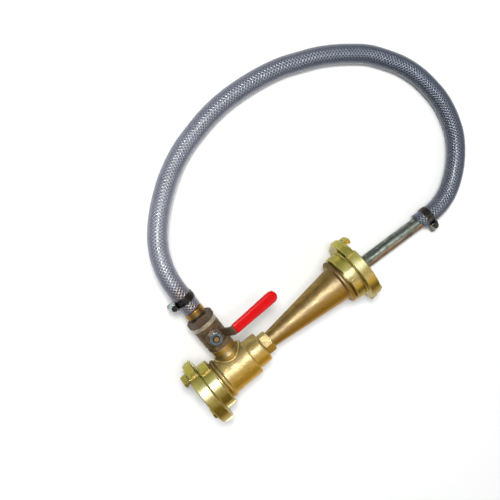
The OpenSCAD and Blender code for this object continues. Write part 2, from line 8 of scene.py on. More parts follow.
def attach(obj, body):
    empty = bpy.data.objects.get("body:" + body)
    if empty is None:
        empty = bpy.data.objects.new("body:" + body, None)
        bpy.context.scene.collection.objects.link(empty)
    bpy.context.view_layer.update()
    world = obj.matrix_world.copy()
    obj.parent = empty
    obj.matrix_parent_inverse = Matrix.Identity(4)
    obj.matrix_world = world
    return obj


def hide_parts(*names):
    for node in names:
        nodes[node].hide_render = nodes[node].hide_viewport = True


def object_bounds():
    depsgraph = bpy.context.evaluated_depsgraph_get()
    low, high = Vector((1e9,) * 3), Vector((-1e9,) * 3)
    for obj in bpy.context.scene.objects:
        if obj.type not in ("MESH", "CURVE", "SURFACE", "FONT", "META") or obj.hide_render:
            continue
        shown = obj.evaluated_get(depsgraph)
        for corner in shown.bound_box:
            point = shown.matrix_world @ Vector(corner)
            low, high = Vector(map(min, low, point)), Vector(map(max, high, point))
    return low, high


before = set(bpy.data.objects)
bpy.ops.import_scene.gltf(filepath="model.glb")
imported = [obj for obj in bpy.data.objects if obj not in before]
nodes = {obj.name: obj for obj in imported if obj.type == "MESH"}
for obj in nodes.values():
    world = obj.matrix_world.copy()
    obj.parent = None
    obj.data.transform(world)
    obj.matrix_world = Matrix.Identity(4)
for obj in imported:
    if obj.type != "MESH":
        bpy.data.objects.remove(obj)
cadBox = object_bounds()
scene = bpy.context.scene
finishes = {}
mm = 0.001
fullTurn = 2 * math.pi
quarterTurn = math.pi / 2
print("frame loaded:", len(nodes), "nodes")


# Small helpers for meshes

meshPlan = {"weld": 1e-6, "bevelSteps": 2, "bevelAngle": 40}


def addPiece(name, mesh, finish, body, smooth=True):
    piece = bpy.data.objects.new(name, mesh)
    scene.collection.objects.link(piece)
    mesh.materials.clear()
    mesh.materials.append(finishes[finish])
    mesh.polygons.foreach_set("use_smooth", [smooth] * len(mesh.polygons))
    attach(piece, body)
    return piece


def circleAngles(count):
    return [fullTurn * k / count for k in range(count)]


def loftMesh(name, rings, closedLength=False):
    # rings of equal count become one closed skin
    count = len(rings[0])
    points = [p for ring in rings for p in ring]
    spans = len(rings) if closedLength else len(rings) - 1
    faces = []
    for i in range(spans):
        low = i * count
        high = ((i + 1) % len(rings)) * count
        for k in range(count):
            m = (k + 1) % count
            faces.append((low + k, low + m, high + m, high + k))
    if not closedLength:
        faces.append(tuple(reversed(range(count))))
        faces.append(tuple(range(spans * count, len(points))))
    mesh = bpy.data.meshes.new(name)
    mesh.from_pydata(points, [], faces)
    shell = bmesh.new()
    shell.from_mesh(mesh)
    bmesh.ops.remove_doubles(shell, verts=shell.verts, dist=meshPlan["weld"])
    bmesh.ops.recalc_face_normals(shell, faces=shell.faces)
    shell.to_mesh(mesh)
    shell.free()
    return mesh


def finishEdges(piece, width):
    bevel = piece.modifiers.new("edges", "BEVEL")
    bevel.width = width
    bevel.segments = meshPlan["bevelSteps"]
    bevel.limit_method = "ANGLE"
    bevel.angle_limit = math.radians(meshPlan["bevelAngle"])


def smoothByAngle(mesh, degrees):
    # flat faces stay crisp against round ones
    mesh.set_sharp_from_angle(angle=math.radians(degrees))


# Small helpers for node trees

def place(tree, kind, feeds=None, **settings):
    node = tree.nodes.new(kind)
    for key, value in settings.items():
        setattr(node, key, value)
    for key, value in (feeds or {}).items():
        if isinstance(value, bpy.types.NodeSocket):
            tree.links.new(value, node.inputs[key])
        else:
            node.inputs[key].default_value = value
    return node


def math2(tree, operation, a, b=0.0):
    return place(tree, "ShaderNodeMath", {0: a, 1: b}, operation=operation).outputs[0]


def times(tree, a, b):
    return math2(tree, "MULTIPLY", a, b)


def plus(tree, a, b):
    return math2(tree, "ADD", a, b)


def lengthOf(tree, a, b):
    return math2(tree, "SQRT", plus(tree, times(tree, a, a), times(tree, b, b)))


def vectorMath(tree, operation, a, b):
    return place(tree, "ShaderNodeVectorMath", {0: a, 1: b}, operation=operation).outputs


def scaled(tree, vector, factor):
    feeds = {0: vector, "Scale": factor}
    return place(tree, "ShaderNodeVectorMath", feeds, operation="SCALE").outputs[0]


def splitVector(tree, vector):
    return place(tree, "ShaderNodeSeparateXYZ", {0: vector}).outputs


def objectSpot(tree):
    return place(tree, "ShaderNodeTexCoord").outputs["Object"]


def noise(tree, spot, scale, detail, **more):
    feeds = {"Vector": spot, "Scale": scale, "Detail": detail, **more}
    return place(tree, "ShaderNodeTexNoise", feeds).outputs["Fac"]


def mixColour(tree, factor, a, b):
    return place(tree, "ShaderNodeMix", {0: factor, 6: a, 7: b}, data_type="RGBA").outputs[2]


def overlay(tree, mask, share, under, over):
    return mixColour(tree, times(tree, mask, share), under, over)


def remap(tree, value, fromLow, fromHigh, toLow=0.0, toHigh=1.0):
    # a range in a plan holds both limits, and after them the two results where they aren't 0 and 1
    feeds = {"Value": value, "From Min": fromLow, "From Max": fromHigh, "To Min": toLow, "To Max": toHigh}
    return place(tree, "ShaderNodeMapRange", feeds).outputs["Result"]


def between(tree, share, low, high):
    return remap(tree, share, 0.0, 1.0, low, high)


def newGroup(name, family, inputs, outputs):
    group = bpy.data.node_groups.new(name, family + "NodeTree")
    for way, sockets in (("INPUT", inputs), ("OUTPUT", outputs)):
        for label, kind in sockets.items():
            group.interface.new_socket(label, in_out=way, socket_type="NodeSocket" + kind)
    return group, group.nodes.new("NodeGroupInput").outputs, group.nodes.new("NodeGroupOutput").inputs


def useGroup(tree, group, feeds):
    return place(tree, "ShaderNodeGroup", feeds, node_tree=group).outputs


# Camera at the photograph's place

cameraPlan = {
    "place": (0.080, 0.3538, 0.9721),
    "right": (0.7726, -0.5943, 0.2233),
    "up": (0.6264, 0.7709, -0.1154),
    "lens": 50.4,
    "sensor": 36.0,
    "near": 0.01,
    "far": 50.0,
}


def makeCamera(plan):
    data = bpy.data.cameras.new("camera")
    data.lens = plan["lens"]
    data.sensor_width = plan["sensor"]
    data.clip_start = plan["near"]
    data.clip_end = plan["far"]
    right = Vector(plan["right"]).normalized()
    back = right.cross(Vector(plan["up"])).normalized()
    up = back.cross(right)
    turn = Matrix((right, up, back)).transposed().to_4x4()
    camera = bpy.data.objects.new("camera", data)
    camera.matrix_world = Matrix.Translation(plan["place"]) @ turn
    scene.collection.objects.link(camera)
    scene.camera = camera


makeCamera(cameraPlan)
print("camera set")


# Shader groups shared by the finishes

skinPlan = {
    "grainDetail": 4.0, "lumpDetail": 3.0,
    "pitScale": 0.45, "pitRange": (0.12, 0.3, 1.0, 0.0), "sparseRange": (0.5, 0.62), "pitDepth": 0.5,
    "fineHeight": 0.5, "broadHeight": 1.1, "fineTone": 0.4, "broadTone": 0.6, "toneRange": (0.36, 0.64),
}


def makeCastSkin(plan):
    # fine grain, broad lumps and sparse pits
    inputs = {"Grain": "Float", "Lumps": "Float"}
    outputs = {"Height": "Float", "Mottle": "Float", "Pits": "Float"}
    group, given, result = newGroup("castSkin", "Shader", inputs, outputs)
    spot = objectSpot(group)
    grain = noise(group, spot, given["Grain"], plan["grainDetail"])
    lumps = noise(group, spot, given["Lumps"], plan["lumpDetail"])
    feeds = {"Vector": spot, "Scale": times(group, given["Grain"], plan["pitScale"])}
    cells = place(group, "ShaderNodeTexVoronoi", feeds).outputs["Distance"]
    sparse = remap(group, lumps, *plan["sparseRange"])
    pits = times(group, remap(group, cells, *plan["pitRange"]), sparse)
    rise = plus(group, times(group, grain, plan["fineHeight"]), times(group, lumps, plan["broadHeight"]))
    height = math2(group, "SUBTRACT", rise, times(group, pits, plan["pitDepth"]))
    tone = plus(group, times(group, grain, plan["fineTone"]), times(group, lumps, plan["broadTone"]))
    group.links.new(height, result["Height"])
    group.links.new(remap(group, tone, *plan["toneRange"]), result["Mottle"])
    group.links.new(pits, result["Pits"])
    return group


lathePlan = {"lines": 1500.0, "detail": 3.0}


def makeLatheMarks(plan):
    # rings around the X axis of the vector, on faces and on barrels
    group, given, result = newGroup("latheMarks", "Shader", {"Vector": "Vector"}, {"Height": "Float"})
    parts = splitVector(group, given["Vector"])
    along = times(group, parts["X"], plan["lines"])
    across = times(group, lengthOf(group, parts["Y"], parts["Z"]), plan["lines"])
    spot = place(group, "ShaderNodeCombineXYZ", {"X": along, "Y": across}).outputs[0]
    group.links.new(noise(group, spot, 1.0, plan["detail"]), result["Height"])
    return group


wearPlan = {"samples": 4, "edgeRange": (0.99, 0.86)}


def makeEdgeWear(plan):
    # rubbed edges, and a normal that rounds them
    outputs = {"Edge": "Float", "Normal": "Vector"}
    group, given, result = newGroup("edgeWear", "Shader", {"Radius": "Float"}, outputs)
    feeds = {"Radius": given["Radius"]}
    soft = place(group, "ShaderNodeBevel", feeds, samples=plan["samples"]).outputs[0]
    hard = place(group, "ShaderNodeNewGeometry").outputs["Normal"]
    facing = vectorMath(group, "DOT_PRODUCT", soft, hard)["Value"]
    group.links.new(remap(group, facing, *plan["edgeRange"]), result["Edge"])
    group.links.new(soft, result["Normal"])
    return group


stainPlan = {
    "detail": 5.0, "roughness": 0.62, "distortion": 0.4, "top": 0.72, "reach": 0.44, "softness": 0.16,
}


def makeStain(plan):
    # cloudy patches that cover more as the spread grows
    inputs = {"Scale": "Float", "Spread": "Float"}
    group, given, result = newGroup("stain", "Shader", inputs, {"Mask": "Float"})
    cloud = noise(group, objectSpot(group), given["Scale"], plan["detail"],
                  Roughness=plan["roughness"], Distortion=plan["distortion"])
    low = math2(group, "SUBTRACT", plan["top"], times(group, given["Spread"], plan["reach"]))
    high = plus(group, low, plan["softness"])
    group.links.new(remap(group, cloud, low, high), result["Mask"])
    return group


lowPlan = {"low": (0.0, -0.97, 0.23), "back": (0.0, 0.37, 0.93), "flankRange": (0.97, 0.82)}


def makeLowSide(plan):
    # mask for a painted reflection of a warm floor on the low side, and a flank mask that is 0 where the
    # surface faces the back direction and 1 on the flanks
    inputs = {"From": "Float", "To": "Float"}
    outputs = {"Mask": "Float", "Flank": "Float"}
    group, given, result = newGroup("lowSide", "Shader", inputs, outputs)
    hard = place(group, "ShaderNodeNewGeometry").outputs["Normal"]
    low = vectorMath(group, "DOT_PRODUCT", hard, plan["low"])["Value"]
    back = vectorMath(group, "DOT_PRODUCT", hard, plan["back"])["Value"]
    group.links.new(remap(group, low, given["From"], given["To"]), result["Mask"])
    group.links.new(remap(group, back, *plan["flankRange"]), result["Flank"])
    return group


castSkin = makeCastSkin(skinPlan)
latheMarks = makeLatheMarks(lathePlan)
edgeWear = makeEdgeWear(wearPlan)
stain = makeStain(stainPlan)
lowSide = makeLowSide(lowPlan)


# Steps shared by the finishes

def newFinish(name, **constants):
    material = bpy.data.materials.new(name)
    material.use_nodes = True
    tree = material.node_tree
    tree.nodes.clear()
    shader = tree.nodes.new("ShaderNodeBsdfPrincipled")
    output = tree.nodes.new("ShaderNodeOutputMaterial")
    tree.links.new(shader.outputs[0], output.inputs[0])
    for label, value in constants.items():
        shader.inputs[label].default_value = value
    finishes[name] = material
    return tree, shader.inputs


def joinFinish(tree, shader, colour, roughness, normal=None):
    tree.links.new(colour, shader["Base Color"])
    tree.links.new(roughness, shader["Roughness"])
    if normal is not None:
        tree.links.new(normal, shader["Normal"])


def bumpNormal(tree, height, plan, normal=None):
    feeds = {"Height": height, "Strength": plan["bump"], "Distance": plan["depth"]}
    if normal is not None:
        feeds["Normal"] = normal
    return place(tree, "ShaderNodeBump", feeds).outputs[0]


def skinOf(tree, plan):
    return useGroup(tree, castSkin, {"Grain": plan["grain"], "Lumps": plan["lumps"]})


def wearOf(tree, plan):
    return useGroup(tree, edgeWear, {"Radius": plan["edge"]})


def stainOf(tree, plan):
    return useGroup(tree, stain, {"Scale": plan["stain"], "Spread": plan["spread"]})["Mask"]


def sidesOf(tree, plan):
    return useGroup(tree, lowSide, {"From": plan["lowReflectionFrom"], "To": plan["lowReflectionTo"]})


def lowReflectionOver(tree, shader, plan, colour):
    # painted reflection: a warm floor reflection is laid over the low side, and the flanks get more metal
    # than the back
    sides = sidesOf(tree, plan)
    tree.links.new(between(tree, sides["Flank"], plan["metal"], plan["flankMetal"]), shader["Metallic"])
    return overlay(tree, sides["Mask"], plan["lowReflectionShare"], colour, plan["lowReflection"])


def turnedSpot(tree, plan):
    # object coordinates with the piece's own axis laid along X
    moved = vectorMath(tree, "SUBTRACT", objectSpot(tree), plan["centre"])[0]
    return place(tree, "ShaderNodeMapping", {"Vector": moved, "Rotation": plan["turn"]}).outputs[0]


# Brass and bronze

# the low-side colour and its range in these plans paint a warm floor reflection onto the low side
castPlan = {
    "dark": (0.22, 0.145, 0.035, 1), "gold": (0.48, 0.37, 0.11, 1), "worn": (0.80, 0.72, 0.46, 1),
    "pit": (0.10, 0.06, 0.015, 1), "lowReflection": (0.58, 0.30, 0.012, 1), "grime": (0.085, 0.05, 0.012, 1),
    "gloss": 2.1, "tint": (1.0, 0.91, 0.72, 1), "metal": 0.28, "flankMetal": 0.8,
    "smooth": 0.25, "rough": 0.44, "bump": 0.8, "depth": 0.0006, "grain": 1000.0, "lumps": 110.0,
    "edge": 0.0008, "edgeShare": 0.7, "stain": 45.0, "spread": 0.45, "stainTone": 0.4,
    "lowReflectionFrom": -0.05, "lowReflectionTo": 0.55, "lowReflectionShare": 0.9,
    "grimeFrom": 0.022, "grimeTo": 0.034, "grimeShare": 0.8, "grimeRough": 0.75,
}
diffuserPlan = {
    **castPlan, "dark": (0.125, 0.07, 0.013, 1), "gold": (0.275, 0.175, 0.032, 1),
    "lowReflection": (0.38, 0.175, 0.005, 1), "smooth": 0.26, "rough": 0.46,
}
# the bead is a paler copy of the cast brass with little branch grime: a painted highlight on the bead
beadPlan = {
    **castPlan, "dark": (0.36, 0.26, 0.08, 1), "gold": (0.62, 0.50, 0.20, 1), "grimeShare": 0.1,
}


def makeCastBrass(name, plan):
    # grime gathers around the suction branch, and a painted reflection of a warm floor lies on the low side
    tree, shader = newFinish(name, **{"IOR": plan["gloss"], "Specular Tint": plan["tint"]})
    skin = skinOf(tree, plan)
    wear = wearOf(tree, plan)
    shade = times(tree, skin["Mottle"], between(tree, stainOf(tree, plan), 1.0, plan["stainTone"]))
    colour = mixColour(tree, shade, plan["dark"], plan["gold"])
    colour = mixColour(tree, skin["Pits"], colour, plan["pit"])
    reach = splitVector(tree, objectSpot(tree))["Y"]
    grime = remap(tree, reach, plan["grimeFrom"], plan["grimeTo"], 0.0, plan["grimeShare"])
    colour = mixColour(tree, grime, colour, plan["grime"])
    colour = lowReflectionOver(tree, shader, plan, colour)
    colour = overlay(tree, wear["Edge"], plan["edgeShare"], colour, plan["worn"])
    polish = between(tree, skin["Mottle"], plan["rough"], plan["smooth"])
    roughness = math2(tree, "MAXIMUM", polish, times(tree, grime, plan["grimeRough"]))
    joinFinish(tree, shader, colour, roughness, bumpNormal(tree, skin["Height"], plan, wear["Normal"]))


# the low-side colour and its range in these plans paint a warm floor reflection onto the low side
couplingPlan = {
    "dark": (0.19, 0.155, 0.013, 1), "light": (0.34, 0.30, 0.035, 1), "worn": (0.80, 0.76, 0.46, 1),
    "lowReflection": (0.32, 0.18, 0.002, 1), "gloss": 2.7, "tint": (1.0, 0.96, 0.80, 1),
    "metal": 0.12, "flankMetal": 0.85, "smooth": 0.2, "rough": 0.34, "bump": 0.2, "depth": 0.0004,
    "grain": 700.0, "lumps": 90.0, "castShare": 0.8, "edge": 0.0008, "edgeShare": 0.8,
    "stain": 38.0, "spread": 0.55, "stainTone": 0.45, "lowReflectionFrom": -0.15, "lowReflectionTo": 0.4, "lowReflectionShare": 0.9,
    "centre": (0, 0, 0), "turn": (0, 0, 0),
}
barbPlan = {
    **couplingPlan,
    "dark": (0.11, 0.055, 0.017, 1), "light": (0.33, 0.185, 0.05, 1), "worn": (0.72, 0.54, 0.20, 1),
    "lowReflection": (0.30, 0.14, 0.03, 1), "gloss": 1.5, "tint": (1.0, 0.86, 0.58, 1),
    "metal": 0.8, "flankMetal": 0.9, "smooth": 0.26, "rough": 0.44, "bump": 0.16,
    "lowReflectionFrom": 0.1, "lowReflectionTo": 0.65, "centre": (0.067, 0.0, 0.0), "turn": (0, 0, -quarterTurn),
}


def makeCouplingBrass(name, plan):
    # turned rings over a cast skin
    tree, shader = newFinish(name, **{"IOR": plan["gloss"], "Specular Tint": plan["tint"]})
    marks = useGroup(tree, latheMarks, {"Vector": turnedSpot(tree, plan)})["Height"]
    skin = skinOf(tree, plan)
    wear = wearOf(tree, plan)
    shade = between(tree, stainOf(tree, plan), 1.0, plan["stainTone"])
    colour = mixColour(tree, shade, plan["dark"], plan["light"])
    # painted reflection of a warm floor on the low side
    colour = lowReflectionOver(tree, shader, plan, colour)
    colour = overlay(tree, wear["Edge"], plan["edgeShare"], colour, plan["worn"])
    roughness = between(tree, skin["Mottle"], plan["rough"], plan["smooth"])
    height = plus(tree, marks, times(tree, skin["Height"], plan["castShare"]))
    joinFinish(tree, shader, colour, roughness, bumpNormal(tree, height, plan, wear["Normal"]))


stemPlan = {
    "gold": (0.46, 0.29, 0.09, 1), "dark": (0.06, 0.035, 0.02, 1), "rimRange": (0.0030, 0.0036),
    "smooth": 0.3, "rough": 0.6, "bump": 0.2, "depth": 0.0003, "grain": 1500.0, "lumps": 200.0,
    "centre": (0.067, 0.065, 0.0), "turn": (0, 0, 0),
}


def makeStemEnd(plan):
    # bright middle and a dark, rough rim: painted shade of the recess around the stem
    tree, shader = newFinish("stemEnd", Metallic=1.0)
    parts = splitVector(tree, turnedSpot(tree, plan))
    rim = remap(tree, lengthOf(tree, parts["X"], parts["Y"]), *plan["rimRange"])
    colour = mixColour(tree, rim, plan["gold"], plan["dark"])
    roughness = between(tree, rim, plan["smooth"], plan["rough"])
    joinFinish(tree, shader, colour, roughness, bumpNormal(tree, skinOf(tree, plan)["Height"], plan))


bronzePlan = {
    "dark": (0.064, 0.036, 0.020, 1), "brown": (0.155, 0.098, 0.038, 1), "worn": (0.42, 0.30, 0.15, 1),
    "turned": (0.48, 0.41, 0.31, 1), "ringFrom": 0.0800, "ringTo": 0.0856, "ringClean": 0.85,
    "ringDirty": 0.5, "capShare": 0.85, "metal": 0.45, "smooth": 0.34, "rough": 0.5,
    "bump": 0.3, "depth": 0.0004, "grain": 1400.0, "lumps": 150.0, "edge": 0.0006, "edgeShare": 0.75,
    "stain": 90.0, "spread": 0.6, "stainShare": 0.2,
}


def makeValveBronze(plan):
    # a turned ring parts the rough body from the darker end cap
    tree, shader = newFinish("valveBronze", Metallic=plan["metal"])
    skin = skinOf(tree, plan)
    wear = wearOf(tree, plan)
    patch = stainOf(tree, plan)
    colour = mixColour(tree, skin["Mottle"], plan["dark"], plan["brown"])
    colour = overlay(tree, patch, plan["stainShare"], colour, plan["worn"])
    reach = splitVector(tree, objectSpot(tree))["Y"]
    ring = times(tree, math2(tree, "GREATER_THAN", reach, plan["ringFrom"]),
                 math2(tree, "LESS_THAN", reach, plan["ringTo"]))
    ring = times(tree, ring, between(tree, patch, plan["ringClean"], plan["ringDirty"]))
    colour = mixColour(tree, ring, colour, plan["turned"])
    cap = math2(tree, "GREATER_THAN", reach, plan["ringTo"])
    colour = overlay(tree, cap, plan["capShare"], colour, plan["dark"])
    colour = overlay(tree, wear["Edge"], plan["edgeShare"], colour, plan["worn"])
    roughness = between(tree, patch, plan["rough"], plan["smooth"])
    joinFinish(tree, shader, colour, roughness, bumpNormal(tree, skin["Height"], plan, wear["Normal"]))


for name, plan in {"castBrass": castPlan, "diffuserBrass": diffuserPlan, "beadBrass": beadPlan}.items():
    makeCastBrass(name, plan)
for name, plan in {"couplingBrass": couplingPlan, "barbBrass": barbPlan}.items():
    makeCouplingBrass(name, plan)
makeStemEnd(stemPlan)
makeValveBronze(bronzePlan)


# Zinc and steel

zincPlan = {
    "metal": 0.95, "bump": 0.12, "depth": 0.0003, "grain": 1800.0, "lumps": 240.0,
    "edge": 0.0004, "edgeShare": 0.6, "stain": 130.0, "rustShare": 0.7,
}
zincTones = {
    "brightZinc": {
        "low": (0.16, 0.21, 0.235, 1), "high": (0.50, 0.59, 0.64, 1), "rust": (0.14, 0.11, 0.08, 1),
        "spread": 0.35, "smooth": 0.2, "rough": 0.4},
    "clampZinc": {
        "low": (0.06, 0.09, 0.085, 1), "high": (0.36, 0.49, 0.47, 1), "rust": (0.06, 0.045, 0.03, 1),
        "spread": 0.45, "smooth": 0.22, "rough": 0.42},
    "darkZinc": {
        "low": (0.014, 0.012, 0.010, 1), "high": (0.10, 0.092, 0.08, 1), "rust": (0.05, 0.022, 0.010, 1),
        "spread": 0.55, "smooth": 0.25, "rough": 0.5},
    "leverZinc": {
        "low": (0.06, 0.035, 0.019, 1), "high": (0.15, 0.092, 0.05, 1), "rust": (0.09, 0.048, 0.021, 1),
        "spread": 0.5, "smooth": 0.35, "rough": 0.5, "metal": 0.4},
}


def makeZinc(name, plan):
    # mottled zinc with rust in patches and rubbed edges
    tree, shader = newFinish(name, Metallic=plan["metal"])
    skin = skinOf(tree, plan)
    wear = wearOf(tree, plan)
    patch = stainOf(tree, plan)
    colour = mixColour(tree, skin["Mottle"], plan["low"], plan["high"])
    colour = overlay(tree, patch, plan["rustShare"], colour, plan["rust"])
    colour = overlay(tree, wear["Edge"], plan["edgeShare"], colour, plan["high"])
    roughness = between(tree, patch, plan["smooth"], plan["rough"])
    joinFinish(tree, shader, colour, roughness, bumpNormal(tree, skin["Height"], plan, wear["Normal"]))


# the low-side colour and ranges here paint a warm floor reflection along the pipe's low side, with rust in
# it
pipePlan = {
    "grey": (0.09, 0.11, 0.095, 1), "pale": (0.24, 0.275, 0.24, 1), "brown": (0.22, 0.13, 0.065, 1),
    "streak": (0.045, 0.055, 0.05, 1), "lowReflection": (0.27, 0.105, 0.022, 1),
    "deepRust": (0.13, 0.06, 0.022, 1), "metal": 0.9, "rustAndReflectionMetal": 0.15, "smooth": 0.28, "rough": 0.46,
    "bump": 0.1, "depth": 0.0003, "grain": 900.0, "lumps": 160.0, "spangle": 210.0,
    "stain": 55.0, "spread": 0.4, "brownShare": 0.35, "drawn": (14.0, 330.0, 330.0), "drawnDetail": 3.0,
    "streakRange": (0.54, 0.66, 0.0, 0.85), "lowReflectionFrom": 0.12, "lowReflectionTo": 0.45,
    "rustAndReflectionRange": (0.60, 0.42, 0.25, 0.95),
}


def makeGalvanised(plan):
    # crystal spangle and drawn streaks of the zinc coat, and along the low side a brown band broken by the
    # streaks: painted reflection of a warm floor, deepening to rust in patches
    tree, shader = newFinish("galvanised")
    spot = objectSpot(tree)
    feeds = {"Vector": spot, "Scale": plan["spangle"]}
    cells = place(tree, "ShaderNodeTexVoronoi", feeds).outputs["Color"]
    tone = place(tree, "ShaderNodeSeparateColor", {0: cells}).outputs[0]
    patch = stainOf(tree, plan)
    colour = mixColour(tree, tone, plan["grey"], plan["pale"])
    colour = overlay(tree, patch, plan["brownShare"], colour, plan["brown"])
    drawn = place(tree, "ShaderNodeMapping", {"Vector": spot, "Scale": plan["drawn"]}).outputs[0]
    lines = noise(tree, drawn, 1.0, plan["drawnDetail"])
    colour = mixColour(tree, remap(tree, lines, *plan["streakRange"]), colour, plan["streak"])
    # painted floor reflection and rust along the low side
    rust = times(tree, sidesOf(tree, plan)["Mask"], remap(tree, lines, *plan["rustAndReflectionRange"]))
    colour = mixColour(tree, rust, colour, mixColour(tree, patch, plan["lowReflection"], plan["deepRust"]))
    tree.links.new(between(tree, rust, plan["metal"], plan["rustAndReflectionMetal"]), shader["Metallic"])
    roughness = between(tree, tone, plan["rough"], plan["smooth"])
    joinFinish(tree, shader, colour, roughness, bumpNormal(tree, skinOf(tree, plan)["Height"], plan))


ballPlan = {
    "clean": (0.78, 0.79, 0.80, 1), "dull": (0.62, 0.64, 0.66, 1), "smooth": 0.08, "rough": 0.18,
    "stain": 160.0, "spread": 0.3,
}


def makePolishedBall(plan):
    tree, shader = newFinish("polishedBall", Metallic=1.0)
    patch = stainOf(tree, plan)
    colour = mixColour(tree, patch, plan["clean"], plan["dull"])
    joinFinish(tree, shader, colour, between(tree, patch, plan["smooth"], plan["rough"]))


for name, tones in zincTones.items():
    makeZinc(name, {**zincPlan, **tones})
makeGalvanised(pipePlan)
makePolishedBall(ballPlan)


# Plastic and rubber

plainPlan = {"bump": 0.15, "depth": 0.0003, "grain": 1600.0, "lumps": 200.0, "constants": {}}
plainTones = {
    "redGrip": {
        "low": (0.50, 0.0, 0.001, 1), "high": (0.62, 0.0, 0.002, 1), "rough": 0.34, "smooth": 0.24,
        "bump": 0.08, "depth": 0.0004, "grain": 900.0, "lumps": 130.0, "constants": {"IOR": 1.3}},
    "blackRubber": {
        "low": (0.008, 0.008, 0.008, 1), "high": (0.028, 0.027, 0.025, 1), "rough": 0.7, "smooth": 0.5},
    "whiteSeat": {
        "low": (0.72, 0.70, 0.64, 1), "high": (0.88, 0.87, 0.83, 1), "rough": 0.5, "smooth": 0.35},
}


def makePlain(name, plan):
    # one colour in two shades
    tree, shader = newFinish(name, **plan["constants"])
    skin = skinOf(tree, plan)
    colour = mixColour(tree, skin["Mottle"], plan["low"], plan["high"])
    roughness = between(tree, skin["Mottle"], plan["rough"], plan["smooth"])
    joinFinish(tree, shader, colour, roughness, bumpNormal(tree, skin["Height"], plan))


hosePlan = {
    "rootRange": (0.165, 0.140), "fadeRange": (0.12, 0.50), "stain": 45.0, "spread": 0.5, "stainShare": 0.3,
    "edgeBlend": 0.45, "clearRange": (0.06, 0.46, 0.06, 0.92),
}
hoseTones = {
    "clearHose": {
        "root": (0.19, 0.185, 0.22, 1), "near": (0.225, 0.235, 0.30, 1), "far": (0.08, 0.096, 0.13, 1),
        "smooth": 0.12, "rough": 0.20, "constants": {"IOR": 1.52}},
    "hoseCore": {
        "root": (0.03, 0.02, 0.017, 1), "near": (0.17, 0.175, 0.215, 1), "far": (0.03, 0.036, 0.052, 1),
        "smooth": 0.35, "rough": 0.45, "constants": {}},
    "hoseFibre": {
        "root": (0.72, 0.63, 0.62, 1), "near": (0.84, 0.85, 0.90, 1), "far": (0.50, 0.55, 0.65, 1),
        "smooth": 0.26, "rough": 0.36, "constants": {"Metallic": 0.45}},
}


def makeHoseFinish(name, plan):
    # the barb shows through at the root, painted shade darkens the hose towards its far end, and cloudy
    # patches take the far colour
    tree, shader = newFinish(name, **plan["constants"])
    reach = splitVector(tree, objectSpot(tree))
    root = remap(tree, reach["Y"], *plan["rootRange"])
    # painted shade: darker towards the far end
    fade = remap(tree, reach["X"], *plan["fadeRange"])
    patch = stainOf(tree, plan)
    colour = mixColour(tree, root, plan["near"], plan["root"])
    colour = mixColour(tree, fade, colour, plan["far"])
    colour = overlay(tree, patch, plan["stainShare"], colour, plan["far"])
    joinFinish(tree, shader, colour, between(tree, patch, plan["smooth"], plan["rough"]))
    return tree, shader


def openWall(tree, shader, plan):
    # the wall lets the braid show where it is looked through, and closes up towards its edges
    facing = place(tree, "ShaderNodeLayerWeight", {"Blend": plan["edgeBlend"]}).outputs["Facing"]
    tree.links.new(remap(tree, facing, *plan["clearRange"]), shader["Alpha"])


for name, tones in plainTones.items():
    makePlain(name, {**plainPlan, **tones})
for name, tones in hoseTones.items():
    hoseTree, hoseShader = makeHoseFinish(name, {**hosePlan, **tones})
    if name == "clearHose":
        openWall(hoseTree, hoseShader, hosePlan)
print("finishes made:", len(finishes))


# Suction hose along its route: clear wall, braid and core

hose = {
    "route": [
        (67, 109, 0), (67, 128, 0), (67, 148, 0), (70, 172, -2), (78, 196, -5), (91, 218, -9),
        (109, 238, -14), (129, 255, -19), (152, 271, -24), (176, 284, -29), (201, 294, -32),
        (227, 301, -34), (255, 307, -34), (283, 310, -34), (310, 310, -34), (336, 308, -34),
        (363, 304, -34), (389, 298, -34), (414, 289, -34), (439, 279, -34), (462, 267, -34),
        (485, 252, -34), (507, 235, -34), (525, 214, -34), (541, 191, -34), (553, 165, -34),
        (560, 137, -34), (563, 109, -34), (560, 80, -34), (552, 53, -34), (537, 28, -34),
        (518, 7, -34), (495, -10, -34), (472, -19, -33.5), (449, -21.5, -33), (424, -20.5, -34)],
    "steps": 7, "wallGap": 4.0, "braidGap": 1.1, "sides": 40,
    "outer": 14.5, "wallInside": 13.7, "braid": 12.6, "coreOutside": 11.5, "coreInside": 10.7,
    "strands": 12, "lead": 58.0, "fibre": 0.68, "weave": 0.36, "cutReach": 26.0,
    "pipeCut": {"up": (-0.146, 0.9, 0.35), "low": -7.0, "high": 4.2},
    "valveCut": {"up": (-1.0, 0.0, -0.2), "low": -2.5, "high": 0.0},
}


def smoothRoute(points, steps):
    # one smooth curve through every point of the route
    marks = [Vector(p) * mm for p in points]
    marks = [2 * marks[0] - marks[1]] + marks + [2 * marks[-1] - marks[-2]]
    path = []
    for i in range(1, len(marks) - 2):
        a, b, c, d = marks[i - 1:i + 3]
        for k in range(steps):
            t = k / steps
            path.append(0.5 * (2 * b + (c - a) * t + (2 * a - 5 * b + 4 * c - d) * t * t
                               + (3 * b - a - 3 * c + d) * t ** 3))
    path.append(marks[-2])
    return path


def pathLengths(path):
    # the way from the start to each point
    lengths = [0.0]
    for a, b in zip(path, path[1:]):
        lengths.append(lengths[-1] + (b - a).length)
    return lengths


def evenPath(path, gap):
    # the same path with points a fixed gap apart
    lengths = pathLengths(path)
    count = int(lengths[-1] / gap)
    even = []
    k = 0
    for i in range(count + 1):
        want = lengths[-1] * i / count
        while k < len(path) - 2 and lengths[k + 1] < want:
            k += 1
        share = (want - lengths[k]) / (lengths[k + 1] - lengths[k])
        even.append(path[k].lerp(path[k + 1], share))
    return even


